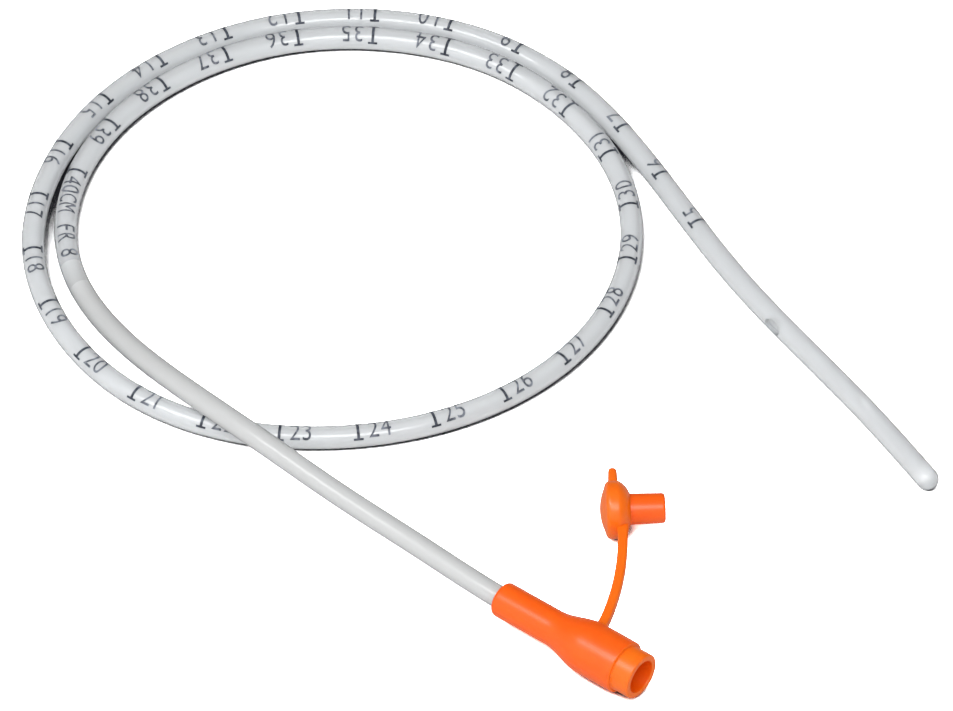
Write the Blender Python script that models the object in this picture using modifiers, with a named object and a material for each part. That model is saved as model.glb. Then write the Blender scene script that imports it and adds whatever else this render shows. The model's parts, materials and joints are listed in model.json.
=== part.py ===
"""Infant feeding tube: one loose loop of clear tube with a funnel connector and its tethered plug cap.

Metres, +Z up. The tube lies on the plane z = 0, and the origin is the middle of the base of its box.
"""

import math

import bmesh
import bpy
import numpy as np
from mathutils import Matrix, Vector

# Tube
TUBE_OD = 0.0030
TUBE_BORE = 0.0019
TUBE_POINTS = 80
TUBE_ROUNDNESS = 3
DOME_STEPS = 4
DOME_LAST_TURN = math.radians(84)
TIP_SOLID = 0.0030
EYE_LENGTH = 0.0030
EYE_WIDTH = 0.0017
EYES = (
    # Distance from the tip, and the turn about the tube from its left side as seen from the tip
    (0.0175, math.radians(-15)),
    (0.0350, math.radians(165)),
)
CROSSING_GAP = 0.0003

# Connector, along its axis from the sleeve's end to the mouth
CONNECTOR_LENGTH = 0.0228
CONNECTOR_AZIMUTH = math.radians(-38.2)
SLEEVE_OD = 0.0044
SLEEVE_LENGTH = 0.0077
SLEEVE_EDGE = 0.00015
BODY_OD = 0.0072
BODY_START = 0.0126
BODY_END = 0.0201
COLLAR_OD = 0.0062
COLLAR_STEP = 0.0002
MOUTH_OD = 0.0057
MOUTH_BORE = 0.0045
LUER_DEPTH = 0.0085
LUER_TAPER = 0.06
SOCKET_DEPTH = 0.0083
SOCKET_FIT = 0.00015
TUBE_END_GAP = 0.0003
TURNED_SIDES = 32

# Strap, a flat ribbon on edge that bends one way between its two flexing ends
STRAP_WIDTH = 0.0013
STRAP_HEIGHT = 0.0015
STRAP_LENGTH = 0.0149
STRAP_ROOT = 0.0135
STRAP_HEADING_ROOT = math.radians(72)
STRAP_HEADING_CAP = math.radians(90)
FLEX_GAP = 0.0003
NUB_REACH = 0.0005
NUB_SUNK = 0.0006

# Plug cap
DISC_OD = 0.0075
DISC_THICKNESS = 0.0021
DISC_CROWN = 0.0005
DISC_ROUNDING = 0.0007
CONE_LENGTH = 0.0011
PLUG_OD = 0.0039
PLUG_LENGTH = 0.0043
PLUG_ROUNDING = 0.0004
CAP_AZIMUTH = math.radians(3)
STRAP_OFF_CENTRE = 0.0007
TAB_THICKNESS = 0.0011
TAB_WIDTH = 0.0024
TAB_REACH = 0.0034
TAB_OFF_CENTRE = -0.0003

# Heights of the tube's centre line
LYING = TUBE_OD / 2
AXIS = BODY_OD / 2
OVER = LYING + TUBE_OD + CROSSING_GAP

# The tube's route from where it leaves the sleeve to its tip
ROUTE = (
    (0.0029, -0.0464, AXIS),
    (-0.0075, -0.0371, AXIS),
    (-0.0181, -0.0279, AXIS + 0.0004),
    (-0.0286, -0.0186, OVER + 0.0001),
    (-0.0384, -0.0087, OVER - 0.0004),
    (-0.0468, 0.0026, LYING + 0.0011),
    (-0.0525, 0.0153, LYING + 0.0002),
    (-0.0527, 0.0292, LYING),
    (-0.0473, 0.0419, LYING),
    (-0.0375, 0.0516, LYING),
    (-0.0248, 0.0572, LYING),
    (-0.0110, 0.0576, LYING),
    (0.0022, 0.0530, LYING),
    (0.0124, 0.0436, LYING),
    (0.0186, 0.0313, LYING),
    (0.0196, 0.0175, LYING),
    (0.0151, 0.0043, LYING),
    (0.0058, -0.0064, LYING),
    (-0.0064, -0.0130, LYING),
    (-0.0201, -0.0154, LYING),
    (-0.0339, -0.0134, LYING),
    (-0.0458, -0.0063, LYING),
    (-0.0540, 0.0050, LYING),
    (-0.0575, 0.0184, LYING),
    (-0.0557, 0.0322, LYING),
    (-0.0494, 0.0447, LYING),
    (-0.0394, 0.0543, LYING),
    (-0.0266, 0.0601, LYING),
    (-0.0127, 0.0612, LYING),
    (0.0009, 0.0575, LYING),
    (0.0120, 0.0492, LYING),
    (0.0201, 0.0379, LYING),
    (0.0268, 0.0256, LYING),
    (0.0336, 0.0134, LYING),
    (0.0414, 0.0017, LYING),
    (0.0496, -0.0101, LYING),
    (0.0584, -0.0241, LYING),
)

CLEAR_PVC = (0.86, 0.88, 0.90, 1)
ORANGE = (0.98, 0.13, 0.01, 1)


def clear_scene():
    for obj in list(bpy.data.objects):
        bpy.data.objects.remove(obj, do_unlink=True)


def collection(name):
    made = bpy.data.collections.new(name)
    bpy.context.scene.collection.children.link(made)
    return made


def material(name, colour, roughness, alpha=1):
    made = bpy.data.materials.new(name)
    made.use_nodes = True
    shader = made.node_tree.nodes["Principled BSDF"]
    shader.inputs["Base Color"].default_value = colour
    shader.inputs["Roughness"].default_value = roughness
    shader.inputs["Alpha"].default_value = alpha
    return made


def add(name, data, group, finish=None, parent=None):
    obj = bpy.data.objects.new(name, data)
    group.objects.link(obj)
    obj.parent = parent
    if finish:
        data.materials.append(finish)
    return obj


def spline_through(points, count):
    """Evenly spaced points of the smooth cubic spline through the given ones."""
    knots = np.array(points)
    spans = np.linalg.norm(np.diff(knots, axis=0), axis=1)
    places = np.concatenate([[0], np.cumsum(spans)])
    system = np.eye(len(knots))
    slopes = np.zeros_like(knots)
    for i in range(1, len(knots) - 1):
        system[i, i - 1 : i + 2] = spans[i - 1], 2 * (spans[i - 1] + spans[i]), spans[i]
        slopes[i] = 6 * (
            (knots[i + 1] - knots[i]) / spans[i] - (knots[i] - knots[i - 1]) / spans[i - 1]
        )
    bends = np.linalg.solve(system, slopes)

    def at(place):
        i = np.clip(np.searchsorted(places, place, side="right") - 1, 0, len(spans) - 1)
        after = ((place - places[i]) / spans[i])[:, None]
        before = 1 - after
        bend = (before**3 - before) * bends[i] + (after**3 - after) * bends[i + 1]
        return before * knots[i] + after * knots[i + 1] + bend * spans[i, None] ** 2 / 6

    fine = at(np.linspace(0, places[-1], 20 * count))
    run = np.concatenate([[0], np.cumsum(np.linalg.norm(np.diff(fine, axis=0), axis=1))])
    even = np.linspace(0, run[-1], count)
    return np.stack([np.interp(even, run, fine[:, i]) for i in range(3)], axis=1)


def along(path, distance_from_end):
    """The point of a path at this distance from its end, and its direction towards the end."""
    left = distance_from_end
    for i in range(len(path) - 1, 0, -1):
        step = Vector(path[i] - path[i - 1])
        if left <= step.length:
            return Vector(path[i]) - step.normalized() * left, step.normalized()
        left -= step.length
    raise ValueError("the path is shorter than that")


def cut_back(path, distance):
    """The path without its last stretch of this length."""
    end, _ = along(path, distance)
    kept = [Vector(p) for p in path]
    while (kept[-1] - Vector(path[-1])).length < distance:
        kept.pop()
    return kept + [end]


def as_mesh(name, curve, group):
    """The curve's solid as a mesh object, its loose caps welded on."""
    drawn = add(name + "_curve", curve, group)
    bpy.context.view_layer.update()
    graph = bpy.context.evaluated_depsgraph_get()
    mesh = bpy.data.meshes.new_from_object(drawn.evaluated_get(graph))
    mesh.name = name
    weld = bmesh.new()
    weld.from_mesh(mesh)
    bmesh.ops.remove_doubles(weld, verts=weld.verts, dist=1e-6)
    bmesh.ops.recalc_face_normals(weld, faces=weld.faces)
    weld.to_mesh(mesh)
    weld.free()
    bpy.data.objects.remove(drawn)
    return add(name, mesh, group)


def rod(name, path, radius, group, roundness):
    """A round bar along a path, with a hemisphere for its last end."""
    end, ahead = along(path, 0)
    rows = [(place, 1) for place in cut_back(path, radius)]
    for i in range(1, DOME_STEPS + 1):
        angle = DOME_LAST_TURN * i / DOME_STEPS
        rows.append((end - ahead * radius * (1 - math.sin(angle)), math.cos(angle)))
    curve = bpy.data.curves.new(name, "CURVE")
    curve.dimensions = "3D"
    curve.bevel_depth = radius
    curve.bevel_resolution = roundness
    curve.use_fill_caps = True
    line = curve.splines.new("POLY")
    line.points.add(len(rows) - 1)
    for spot, (place, share) in zip(line.points, rows):
        spot.co = (*place, 1)
        spot.radius = share
    return as_mesh(name, curve, group)


def turned(name, profile, group, finish=None, parent=None):
    """A closed profile of (radius, height) corners turned once about its Z axis."""
    outline = bpy.data.meshes.new(name)
    corners = [(radius, 0, height) for radius, height in profile]
    on_axis = profile[0][0] == 0 and profile[-1][0] == 0
    last = len(corners) - 1
    edges = [(i, i + 1) for i in range(last)] + ([] if on_axis else [(last, 0)])
    outline.from_pydata(corners, edges, [])
    obj = add(name, outline, group, finish, parent)
    screw = obj.modifiers.new("turn", "SCREW")
    screw.axis = "Z"
    screw.steps = screw.render_steps = TURNED_SIDES
    screw.use_merge_vertices = True
    screw.merge_threshold = 1e-6
    return obj


def flat_piece(name, outline, thickness, group):
    """A flat outline in the XY plane, thickened equally both ways along Z."""
    curve = bpy.data.curves.new(name, "CURVE")
    curve.dimensions = "2D"
    curve.fill_mode = "BOTH"
    curve.extrude = thickness / 2
    line = curve.splines.new("POLY")
    line.points.add(len(outline) - 1)
    for spot, (x, y) in zip(line.points, outline):
        spot.co = (x, y, 0, 1)
    line.use_cyclic_u = True
    return as_mesh(name, curve, group)


def boolean(target, operation, other, solver="EXACT"):
    change = target.modifiers.new(other.name, "BOOLEAN")
    change.solver = solver
    change.operation = operation
    change.object = other
    other.hide_render = True
    other.display_type = "WIRE"


def heading(angle):
    return Vector((math.cos(angle), math.sin(angle), 0))


def smooth(obj):
    obj.data.shade_smooth()
    obj.data.set_sharp_from_angle(angle=math.radians(35))


def build_tube(parts, cutters, finish):
    """The tube, with its lumen open at the connector end and two eyes in opposite walls near the tip."""
    inserted = SOCKET_DEPTH - TUBE_END_GAP
    start = Vector(ROUTE[0]) + heading(CONNECTOR_AZIMUTH) * inserted
    path = spline_through([tuple(start), *ROUTE], TUBE_POINTS)
    tube = rod("feeding_tube", path, TUBE_OD / 2, parts, TUBE_ROUNDNESS)
    tube.data.materials.append(finish)
    beyond = path[0] - (path[1] - path[0]) / np.linalg.norm(path[1] - path[0]) * TUBE_OD
    lumen_path = np.array([beyond, *cut_back(path, TIP_SOLID)])
    lumen = rod("lumen", lumen_path, TUBE_BORE / 2, cutters, TUBE_ROUNDNESS - 1)
    # EXACT leaves open edges where an eye meets the lumen's facets, and both solids here are closed.
    boolean(tube, "DIFFERENCE", lumen, "MANIFOLD")
    for number, (from_tip, turn) in enumerate(EYES, 1):
        place, ahead = along(path, from_tip)
        left = Vector((0, 0, 1)).cross(ahead)
        out = Matrix.Rotation(turn, 3, ahead) @ left
        eye = eye_cutter(f"eye_{number}", place, ahead, out, cutters)
        boolean(tube, "DIFFERENCE", eye, "MANIFOLD")
    smooth(tube)
    return tube


def eye_cutter(name, place, ahead, out, cutters):
    """An oval punch from inside the lumen out through one wall."""
    depth = TUBE_OD
    start = TUBE_BORE / 4
    punch = bmesh.new()
    bmesh.ops.create_cone(
        punch, cap_ends=True, segments=16, radius1=EYE_WIDTH / 2, radius2=EYE_WIDTH / 2, depth=depth
    )
    bmesh.ops.translate(punch, verts=punch.verts, vec=(0, 0, start + depth / 2))
    bmesh.ops.scale(punch, verts=punch.verts, vec=(EYE_LENGTH / EYE_WIDTH, 1, 1))
    mesh = bpy.data.meshes.new(name)
    punch.to_mesh(mesh)
    punch.free()
    cutter = add(name, mesh, cutters)
    axes = Matrix((ahead, out.cross(ahead), out)).transposed()
    cutter.matrix_world = Matrix.Translation(place) @ axes.to_4x4()
    return cutter


def connector_profile():
    """The funnel's section as (radius, distance from the sleeve's end), outer side first."""
    outside = []
    flare_steps = 6
    for i in range(flare_steps + 1):
        share = i / flare_steps
        ease = (1 - math.cos(math.pi * share)) / 2
        radius = SLEEVE_OD / 2 + (BODY_OD - SLEEVE_OD) / 2 * ease
        outside.append((radius, SLEEVE_LENGTH + (BODY_START - SLEEVE_LENGTH) * share))
    rounding = (COLLAR_OD - MOUTH_OD) / 2
    outer = [
        (SLEEVE_OD / 2 - SLEEVE_EDGE, 0),
        (SLEEVE_OD / 2, SLEEVE_EDGE),
        *outside,
        (BODY_OD / 2, BODY_END - COLLAR_STEP),
        (BODY_OD / 2 - COLLAR_STEP, BODY_END),
        (COLLAR_OD / 2, BODY_END),
        (COLLAR_OD / 2, CONNECTOR_LENGTH - 2 * rounding),
        (MOUTH_OD / 2 + rounding / 2, CONNECTOR_LENGTH - rounding / 2),
        (MOUTH_OD / 2, CONNECTOR_LENGTH),
    ]
    luer_end = CONNECTOR_LENGTH - LUER_DEPTH
    inner = [
        (MOUTH_BORE / 2, CONNECTOR_LENGTH),
        (MOUTH_BORE / 2 - LUER_DEPTH * LUER_TAPER / 2, luer_end),
        (TUBE_BORE / 2, luer_end - MOUTH_BORE / 2),
        (TUBE_BORE / 2, SOCKET_DEPTH),
        (TUBE_OD / 2 + SOCKET_FIT, SOCKET_DEPTH),
        (TUBE_OD / 2 + SOCKET_FIT, 0),
    ]
    return list(reversed(outer + inner))


def strap_places():
    """The strap's two flexing axes, and its middle line between them, in the connector's frame."""
    root_heading = STRAP_HEADING_ROOT - CONNECTOR_AZIMUTH
    surface = Vector((STRAP_ROOT, BODY_OD / 2, 0))
    line = [surface + heading(root_heading) * (NUB_REACH + FLEX_GAP + STRAP_WIDTH / 2)]
    steps = 10
    for i in range(steps):
        share = (i + 0.5) / steps
        turn = STRAP_HEADING_ROOT + (STRAP_HEADING_CAP - STRAP_HEADING_ROOT) * share
        line.append(line[-1] + heading(turn - CONNECTOR_AZIMUTH) * STRAP_LENGTH / steps)
    return surface, line


def build_connector(parts, cutters, finish, frame):
    """The turned funnel, with the moulded root of the strap on its side."""
    funnel = turned("funnel_connector", connector_profile(), parts, finish, frame)
    funnel.rotation_euler = (0, math.radians(90), 0)
    surface, _ = strap_places()
    root_heading = STRAP_HEADING_ROOT - CONNECTOR_AZIMUTH
    nub = nub_block("strap_root", cutters, frame)
    nub.rotation_euler = (0, 0, root_heading)
    nub.location = surface + heading(root_heading) * (NUB_REACH - NUB_SUNK) / 2
    boolean(funnel, "UNION", nub)
    return funnel


def nub_block(name, cutters, frame):
    """The short square root that carries one end of the strap, along its own X."""
    block = bmesh.new()
    bmesh.ops.create_cube(block, size=1)
    size = (NUB_REACH + NUB_SUNK, STRAP_WIDTH, STRAP_HEIGHT)
    bmesh.ops.scale(block, verts=block.verts, vec=size)
    mesh = bpy.data.meshes.new(name)
    block.to_mesh(mesh)
    block.free()
    return add(name, mesh, cutters, parent=frame)


def build_strap(parts, finish, frame):
    """The ribbon between the two flexing axes, with a round end about each."""
    _, line = strap_places()
    half = STRAP_WIDTH / 2
    first = STRAP_HEADING_ROOT - CONNECTOR_AZIMUTH
    last = STRAP_HEADING_CAP - CONNECTOR_AZIMUTH
    outline = []
    for i, place in enumerate(line):
        turn = first + (last - first) * i / (len(line) - 1)
        outline.append(place + heading(turn - math.pi / 2) * half)
    end_steps = 6
    for i in range(1, end_steps):
        outline.append(line[-1] + heading(last - math.pi / 2 + math.pi * i / end_steps) * half)
    for i, place in reversed(list(enumerate(line))):
        turn = first + (last - first) * i / (len(line) - 1)
        outline.append(place + heading(turn + math.pi / 2) * half)
    for i in range(1, end_steps):
        outline.append(line[0] + heading(first + math.pi / 2 + math.pi * i / end_steps) * half)
    strap = flat_piece("cap_strap", [(p.x, p.y) for p in outline], STRAP_HEIGHT, parts)
    strap.data.materials.append(finish)
    strap.parent = frame
    return strap


def cap_profile():
    """The cap's section as (radius, distance along the plug), from the crown to the plug's end."""
    rim = DISC_OD / 2
    back = -DISC_THICKNESS / 2
    front = DISC_THICKNESS / 2
    cone_end = front + CONE_LENGTH
    plug = PLUG_OD / 2
    end = cone_end + PLUG_LENGTH
    section = [(0, back - DISC_CROWN), (rim / 2, back - DISC_CROWN * 0.75), (rim - DISC_ROUNDING, back)]
    for i in range(1, 4):
        angle = math.radians(30 * i)
        radius = rim - DISC_ROUNDING * (1 - math.sin(angle))
        section.append((radius, back + DISC_ROUNDING * (1 - math.cos(angle))))
    section += [
        (rim, front - DISC_ROUNDING / 2),
        (rim - DISC_ROUNDING / 4, front),
        (plug, cone_end),
        (plug, end - PLUG_ROUNDING),
        (plug - PLUG_ROUNDING / 3, end - PLUG_ROUNDING / 3),
        (plug - PLUG_ROUNDING, end),
        (0, end),
    ]
    return list(reversed(section))


def tab_outline():
    """The pull tab in its own plane: along the radius as X, with a round free end."""
    inner = DISC_OD / 2 - NUB_SUNK
    centre = DISC_OD / 2 + TAB_REACH - TAB_WIDTH / 2
    outline = [(inner, TAB_WIDTH / 2), (inner, -TAB_WIDTH / 2)]
    steps = 8
    for i in range(steps + 1):
        angle = -math.pi / 2 + math.pi * i / steps
        outline.append((centre + TAB_WIDTH / 2 * math.cos(angle), TAB_WIDTH / 2 * math.sin(angle)))
    return outline


def build_cap(parts, cutters, finish, frame):
    """The cap, held at the strap's far end with its plug level and its rim on the table."""
    _, line = strap_places()
    hinge = bpy.data.objects.new("cap_hinge", None)
    cutters.objects.link(hinge)
    hinge.parent = frame
    hinge.location = line[-1]
    hinge.rotation_euler = (0, 0, CAP_AZIMUTH - CONNECTOR_AZIMUTH)
    arm = DISC_OD / 2 + NUB_REACH + FLEX_GAP + STRAP_WIDTH / 2
    lift = (DISC_OD - BODY_OD) / 2
    middle = Vector((-STRAP_OFF_CENTRE, arm, lift))
    cap = turned("plug_cap", cap_profile(), parts, finish, hinge)
    cap.rotation_euler = (0, math.radians(90), 0)
    cap.location = middle
    nub = nub_block("cap_root", cutters, hinge)
    nub.rotation_euler = (0, 0, math.radians(90))
    nub.location = (0, arm - DISC_OD / 2 - (NUB_REACH - NUB_SUNK) / 2, 0)
    boolean(cap, "UNION", nub)
    tab = flat_piece("pull_tab", tab_outline(), TAB_THICKNESS, cutters)
    tab.parent = hinge
    tab.rotation_euler = (math.radians(90), 0, math.radians(90))
    tab.location = middle + Vector((TAB_OFF_CENTRE, 0, 0))
    boolean(cap, "UNION", tab)
    return cap


def main():
    clear_scene()
    parts = collection("feeding_tube_parts")
    cutters = collection("cutters")
    clear = material("clear_pvc", CLEAR_PVC, 0.12, alpha=0.45)
    orange = material("orange_pvc", ORANGE, 0.38)
    frame = bpy.data.objects.new("connector_frame", None)
    cutters.objects.link(frame)
    frame.location = ROUTE[0]
    frame.rotation_euler = (0, 0, CONNECTOR_AZIMUTH)
    bpy.context.view_layer.update()
    build_tube(parts, cutters, clear)
    build_connector(parts, cutters, orange, frame)
    build_strap(parts, orange, frame)
    build_cap(parts, cutters, orange, frame)


main()
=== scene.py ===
"""Feeding tube: looks of the clear tube, its print, the funnel connector, the strap and the cap."""

import json
import math

import bpy
import numpy as np
from mathutils import Matrix, Vector


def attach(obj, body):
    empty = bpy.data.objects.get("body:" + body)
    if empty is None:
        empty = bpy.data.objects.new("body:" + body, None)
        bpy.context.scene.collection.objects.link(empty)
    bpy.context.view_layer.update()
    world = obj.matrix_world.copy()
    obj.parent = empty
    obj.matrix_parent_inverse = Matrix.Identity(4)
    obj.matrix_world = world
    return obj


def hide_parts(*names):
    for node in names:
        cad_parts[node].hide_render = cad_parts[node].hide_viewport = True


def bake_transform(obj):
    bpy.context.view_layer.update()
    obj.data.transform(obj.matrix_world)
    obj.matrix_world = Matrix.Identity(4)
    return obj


bl_info = {
    "name": "Feeding tube",
    "version": (1, 0, 0),
    "blender": (4, 5, 0),
    "location": "3D View > Sidebar > Feeding Tube",
    "description": "Adds a clear feeding tube with its print, funnel connector and tethered cap",
    "category": "Object",
}

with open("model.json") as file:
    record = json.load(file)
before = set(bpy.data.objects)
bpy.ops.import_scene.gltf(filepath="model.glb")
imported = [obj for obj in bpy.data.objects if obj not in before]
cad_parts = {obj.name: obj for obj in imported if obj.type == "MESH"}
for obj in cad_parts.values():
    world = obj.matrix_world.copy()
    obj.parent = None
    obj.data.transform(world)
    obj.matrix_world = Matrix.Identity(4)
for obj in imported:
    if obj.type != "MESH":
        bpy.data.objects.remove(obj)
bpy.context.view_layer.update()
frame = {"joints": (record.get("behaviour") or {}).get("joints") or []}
HINGES = {joint["name"]: joint for joint in frame["joints"]}

# The camera: pixels across the photo, and the sensor's width in mm
PHOTO_WIDTH = 953
SENSOR_WIDTH = 36

# Heights of the tube's centre line: on the table, in the connector, and over the other turn
LYING = 0.0015
AXIS = 0.0036
OVER = 0.0048

# The lying part of the tube's route, up to its tip
LYING_ROUTE = (
    (-0.0527, 0.0292), (-0.0473, 0.0419), (-0.0375, 0.0516), (-0.0248, 0.0572),
    (-0.0110, 0.0576), (0.0022, 0.0530), (0.0124, 0.0436), (0.0186, 0.0313),
    (0.0196, 0.0175), (0.0151, 0.0043), (0.0058, -0.0064), (-0.0064, -0.0130),
    (-0.0201, -0.0154), (-0.0339, -0.0134), (-0.0458, -0.0063), (-0.0540, 0.0050),
    (-0.0575, 0.0184), (-0.0557, 0.0322), (-0.0494, 0.0447), (-0.0394, 0.0543),
    (-0.0266, 0.0601), (-0.0127, 0.0612), (0.0009, 0.0575), (0.0120, 0.0492),
    (0.0201, 0.0379), (0.0268, 0.0256), (0.0336, 0.0134), (0.0414, 0.0017),
    (0.0496, -0.0101), (0.0584, -0.0241),
)
# The whole route, from the sleeve and over the other turn
ROUTE = (
    (0.0029, -0.0464, AXIS),
    (-0.0075, -0.0371, AXIS),
    (-0.0181, -0.0279, AXIS + 0.0004),
    (-0.0286, -0.0186, OVER + 0.0001),
    (-0.0384, -0.0087, OVER - 0.0004),
    (-0.0468, 0.0026, LYING + 0.0011),
    (-0.0525, 0.0153, LYING + 0.0002),
    *((x, y, LYING) for x, y in LYING_ROUTE),
)
CONNECTOR_AZIMUTH = math.radians(-38.2)

# The print's turn about the tube at some graduations: degrees from straight up, outwards
PRINT_TURNS = (
    (5, 10), (8, 20), (11, 5), (17, 5), (24, 12), (30, -10), (33, -26), (36, -14), (40, -2),
)

# The tube's materials by transmission and roughness, and where the milky tint clears
TUBE_LOOKS = (
    ("clear_vinyl", 0.62, 0.10),
    ("hazy_vinyl", 0.54, 0.14),
    ("frosted_vinyl", 0.44, 0.20),
)
TINT_LEAD, TINT_TAIL = 0.004, 0.008
# How far the draw lines are drawn out, and the share of fine grain in a surface's height
DRAW_STRETCH = 40
GRAIN_SHARE = 0.35
# Painted shade along the tube's outline, where the wall is seen edge on: how thin, how strong and
# how dark its line is
EDGE_SHARPNESS, EDGE_SHADE, PAINTED_EDGE_TINT = 3.6, 1.15, 0.22
# The tip's painted shade, which greys it: its start and end, measured back from the tip, and its
# share of the light
TIP_SHADE_START, TIP_SHADE_END, TIP_SHADE = 0.0035, 0.0010, 0.93

# The stage: the painted contact shadow, the table's colours, the world's front and the softbox
CONTACT_LEAN = (-0.36, -0.20, 0.91)
CONTACT_REACH = 0.0022
CONTACT_OPEN = (0.38, 0.56)
PAINTED_CONTACT_SHADOW = (0.03, 0.03, 0.035, 1)
TABLE_GREY = (0.85, 0.85, 0.85, 1)
TABLE_IN_GLOSS = (0.35, 0.35, 0.35, 1)
OVERLIT = (4, 4, 4, 1)
WHITE = (1, 1, 1, 1)
WORLD_FRONT = (-0.60, -0.78, 0.10)
SOFTBOX_PLACE = (-0.22, -0.45, 0.92)
SOFTBOX_SIZE = (1.5, 0.35)


def number(name, description, default, **how):
    return bpy.props.FloatProperty(name=name, description=description, default=default, **how)


def offset(name, description, default, **how):
    return number(name, description, default, unit="LENGTH", precision=5, **how)


def length(name, description, default):
    return offset(name, description, default, min=0)


def turn(name, description, degrees):
    return number(name, description, math.radians(degrees), subtype="ANGLE")


def whole(name, description, default):
    return bpy.props.IntProperty(name=name, description=description, default=default)


def colour(name, description, default):
    return bpy.props.FloatVectorProperty(
        name=name, description=description, default=default, size=3, subtype="COLOR", min=0, max=1
    )


class TubeSettings(bpy.types.PropertyGroup):
    outer_diameter: length("Outer diameter", "Outer diameter of the tube", 0.0030)
    bore: length("Bore", "Diameter of the lumen", 0.0019)
    in_socket: length("In socket", "Length of tube held inside the connector", 0.0080)
    tip_solid: length("Solid tip", "Length of the closed tip beyond the lumen", 0.0030)
    ring_step: length("Ring step", "Distance between rings of the mesh", 0.0007)
    eye_length: length("Eye length", "Length of a side eye along the tube", 0.0030)
    eye_width: length("Eye width", "Width of a side eye", 0.0017)
    near_eye: length("Near eye", "Distance of the eye nearer the tip from the tip", 0.0175)
    far_eye: length("Far eye", "Distance of the other eye from the tip", 0.0350)
    eye_turn: turn("Eye turn", "Turn of the eyes about the tube from its side", -15)
    frosted_length: length("Frosted length", "Length of milky tube beside the connector", 0.0800)
    haze_length: length("Haze length", "Length over which the milky tube clears", 0.0045)
    clear_tint: colour("Clear tint", "Tint of the clear tube", (0.935, 0.955, 0.97))
    frosted_tint: colour("Frosted tint", "Tint of the milky tube", (0.80, 0.81, 0.81))


class PrintSettings(bpy.types.PropertyGroup):
    first_mark: whole("First mark", "Number at the first mark", 5)
    last_mark: whole("Last mark", "Number at the last mark", 40)
    first_from_tip: length("First from tip", "Distance of the first mark from the tip", 0.0557)
    pitch: length("Pitch", "Distance between marks", 0.0100)
    bar_length: length("Bar length", "Length of a mark around the tube", 0.0030)
    bar_width: length("Bar width", "Width of a mark's stroke", 0.00036)
    serif_length: length("Serif length", "Length of the strokes that end a mark", 0.00125)
    digit_height: length("Digit height", "Height of the numbers around the tube", 0.0025)
    digit_width: length("Digit width", "Width of a number's digit along the tube", 0.00128)
    digit_gap: length("Digit gap", "Gap between digits", 0.00034)
    digit_start: length("Digit start", "Distance from a mark's middle to its number", 0.00135)
    gauge_start: length("Gauge start", "Distance from the last mark to the tube's gauge", 0.0103)
    ink_height: length("Ink height", "Height of the ink above the tube", 0.00002)
    bar_ink: colour("Mark ink", "Colour of the marks", (0.030, 0.036, 0.052))
    digit_ink: colour("Number ink", "Colour of the numbers' thinner strokes", (0.085, 0.093, 0.115))


class ConnectorSettings(bpy.types.PropertyGroup):
    total_length: length("Length", "Length from the sleeve's end to the mouth", 0.0228)
    sleeve_diameter: length("Sleeve", "Outer diameter of the sleeve", 0.00475)
    sleeve_length: length("Sleeve length", "Length of the sleeve", 0.0084)
    body_diameter: length("Body", "Outer diameter of the body", 0.0071)
    body_start: length("Body start", "Where the flare reaches the body's diameter", 0.0146)
    body_end: length("Body end", "Where the body steps down to the collar", 0.0201)
    collar_diameter: length("Collar", "Outer diameter of the collar", 0.0062)
    mouth_diameter: length("Mouth", "Outer diameter at the mouth", 0.0057)
    mouth_bore: length("Mouth bore", "Bore at the mouth", 0.0045)
    luer_depth: length("Luer depth", "Depth of the tapered bore", 0.0085)
    socket_depth: length("Socket depth", "Depth of the tube's socket", 0.0083)
    socket_fit: length("Socket fit", "Clearance about the tube in its socket", 0.00015)
    mould_line: length("Mould line", "Height of the mould's parting line", 0.00004)
    body_colour: colour("Colour", "Colour of the moulding", (0.88, 0.108, 0.0005))
    # Painted light: a paler orange for the collar, the strap and the cap's disc, standing for light
    # through their thin walls
    thin_colour: colour("Thin colour", "Colour where light comes through", (0.88, 0.150, 0.0010))


class StrapSettings(bpy.types.PropertyGroup):
    width: length("Width", "Width of the strap in the plane it bends in", 0.0013)
    height: length("Height", "Height of the strap", 0.0015)
    root: length("Root", "Place of the strap's root along the connector", 0.0135)
    reach: length("Reach", "Distance from a moulding's side to the flexing axis", 0.00145)
    sunk: length("Sunk", "Depth of the strap's ends inside the mouldings", 0.0007)
    flare: length("Flare", "Extra width where the strap joins a moulding", 0.0007)
    edge: length("Edge", "Rounding of the strap's long edges", 0.00035)
    root_heading: turn("Root heading", "Direction of the strap at the connector", 72)
    cap_heading: turn("Cap heading", "Direction of the strap at the cap", 90)


class CapSettings(bpy.types.PropertyGroup):
    disc_diameter: length("Disc", "Diameter of the cap's disc", 0.0075)
    disc_thickness: length("Disc thickness", "Thickness of the disc at its rim", 0.0021)
    crown: length("Crown", "Rise of the disc's outer face", 0.0007)
    rounding: length("Rounding", "Rounding of the disc's outer edge", 0.0007)
    dome_length: length("Dome", "Length of the rounded shoulder from the disc to the plug", 0.0011)
    plug_diameter: length("Plug", "Diameter of the plug", 0.0039)
    plug_length: length("Plug length", "Length of the plug beyond the shoulder", 0.0045)
    azimuth: turn("Azimuth", "Direction that the plug points in", 3)
    off_centre: length("Off centre", "Distance from the disc's middle to the strap", 0.0009)
    tab_width: length("Tab width", "Width of the pull tab", 0.0024)
    tab_thickness: length("Tab thickness", "Thickness of the pull tab", 0.0011)
    tab_reach: length("Tab reach", "Reach of the pull tab beyond the rim", 0.0034)
    tab_back: offset("Tab set back", "Distance of the tab behind the disc's middle", -0.0002)


class StageSettings(bpy.types.PropertyGroup):
    lens: number("Lens", "Focal length of the long lens", 1100, unit="CAMERA")
    elevation: turn("Elevation", "Height of the camera above the table", 45)
    pixels_across: number("Scale", "Pixels that a metre takes across the photograph", 7758)
    aim: bpy.props.FloatVectorProperty(
        name="Aim",
        description="Point at the view's middle",
        default=(-0.0002, 0.0010, 0),
        subtype="XYZ",
    )
    key_strength: number("Key light", "Power of the softbox on the left", 10.5, unit="POWER")
    ambient: number("Ambient", "Strength of the surrounding light", 0.52)


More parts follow.
